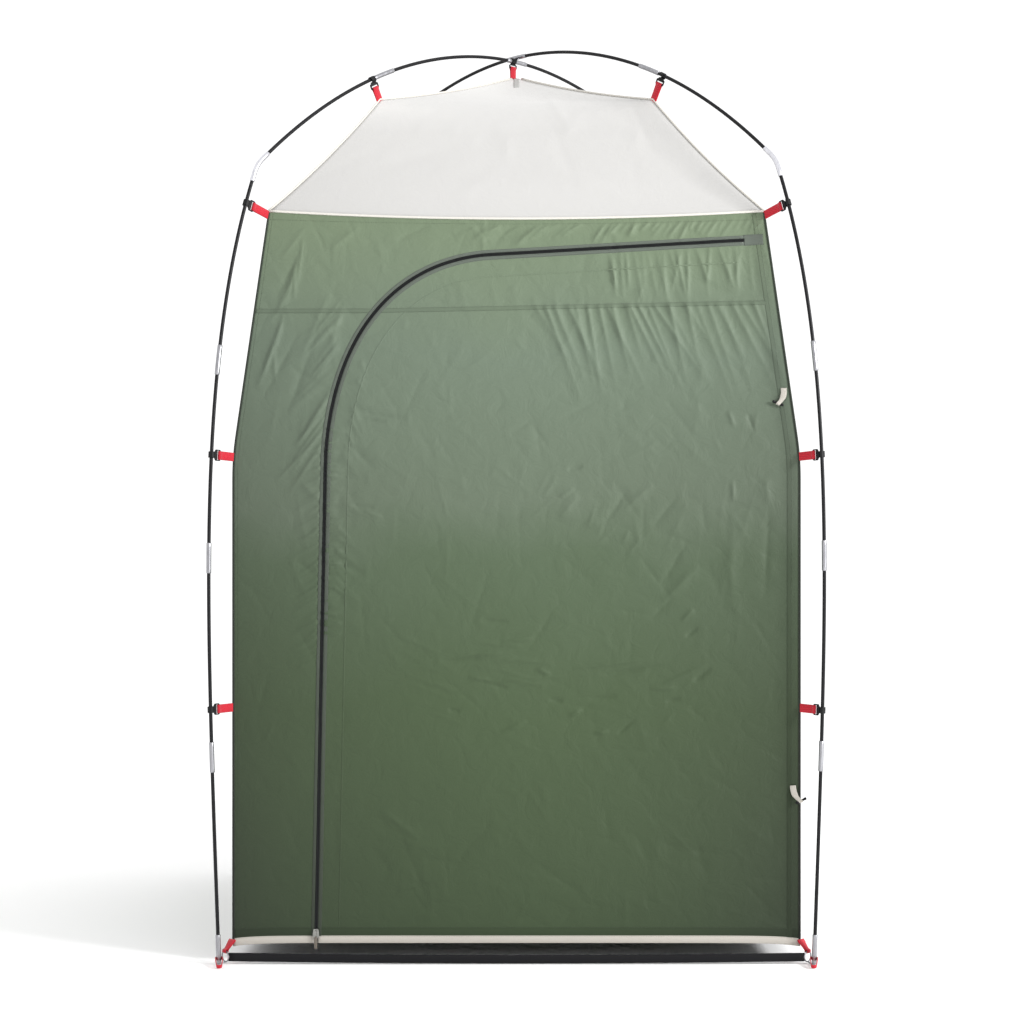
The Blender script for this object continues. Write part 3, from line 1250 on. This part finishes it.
pull_low, pull_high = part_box("zip_puller")
pull_x, pull_top = (pull_low.x + pull_high.x) / 2, pull_high.z - 0.0011
pull_y = (pull_low.y + pull_high.y) / 2
angles = np.linspace(math.radians(-130), math.radians(130), 15)
over = [(pull_x, pull_y + 0.0014 * math.sin(a), pull_top + 0.0002 + 0.0014 * math.cos(a)) for a in angles]
_, y, z = over[0]
hang = np.linspace(0, 1, 14)[1:]
front = [(pull_x, y + (pull_y - 0.0005 - y) * min(t * 4, 1), z + (pull_low.z - z) * t) for t in hang]
rear = [(x, 2 * pull_y - y, z) for x, y, z in front]
ribbon = band(list(reversed(front)) + over + rear, (1, 0, 0), 0.0026, 0.0008)
widths = np.clip((pull_top - np.array([p[2] for p in ribbon[0]]) - 0.003) / 0.006, 0, 1)
wider = [(pull_x + (p[0] - pull_x) * (1 + 1.9 * w), p[1], p[2]) for p, w in zip(ribbon[0], widths)]
mesh_piece("ribbon_pull", (wider, ribbon[1]), puller_tape, "puller", "zip_puller")
print("two toggle bands and the ribbon pull")

# %% [markdown]
# ## Hardware
#
# The clips, pegs and the zip's slider keep their measured shapes and take their real finishes.

# %% Finishes of the measured pieces
for name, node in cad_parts.items():
    if name.startswith(("pole_clip", "crossing_clip", "toggle_peg")):
        finish = nylon
    elif name == "zip_slider":
        finish = zinc
    else:
        continue
    node.data.materials.clear()
    node.data.materials.append(finish)

# %% [markdown]
# ## Sheets
#
# Every cloth is declared with the size that it was cut to, so its area can be checked.

# %% [markdown]
# ## Stage and light
#
# A plain pale floor and a bright even sky keep the picture plain. One soft lamp rakes across the front from
# the right, so every crease in the cloth shows.

# %% Stage and light
floor_data = bpy.data.meshes.new("floor")
floor_data.from_pydata([(-30, -30, 0), (30, -30, 0), (30, 60, 0), (-30, 60, 0)], [], [(0, 1, 2, 3)])
floor = bpy.data.objects.new("floor", floor_data)
bpy.context.scene.collection.objects.link(floor)
matt_white = {"Base_Color": linear("#ffffff"), "Roughness": 1.0, "Specular_IOR_Level": 0.0}
floor_paint, _, _ = new_material("white_studio_floor", **matt_white)
floor_data.materials.append(floor_paint)

world = bpy.data.worlds.new("studio")
world.use_nodes = True
sky = world.node_tree.nodes["Background"].inputs
sky["Color"].default_value, sky["Strength"].default_value = (1, 1, 1, 1), 1.16
bpy.context.scene.world = world


def soft_light(name, place, target, size, power):
    data = bpy.data.lights.new(name, "AREA")
    data.shape = "DISK"
    data.size = size
    data.energy = power
    lamp = bpy.data.objects.new(name, data)
    lamp.location = place
    lamp.rotation_euler = (Vector(target) - Vector(place)).to_track_quat("-Z", "Y").to_euler()
    bpy.context.scene.collection.objects.link(lamp)
    return lamp


soft_light("key", (4.8, -3.5, 2.7), (0, -0.6, 1.2), 1.4, 350)
print("floor, sky and a lamp")
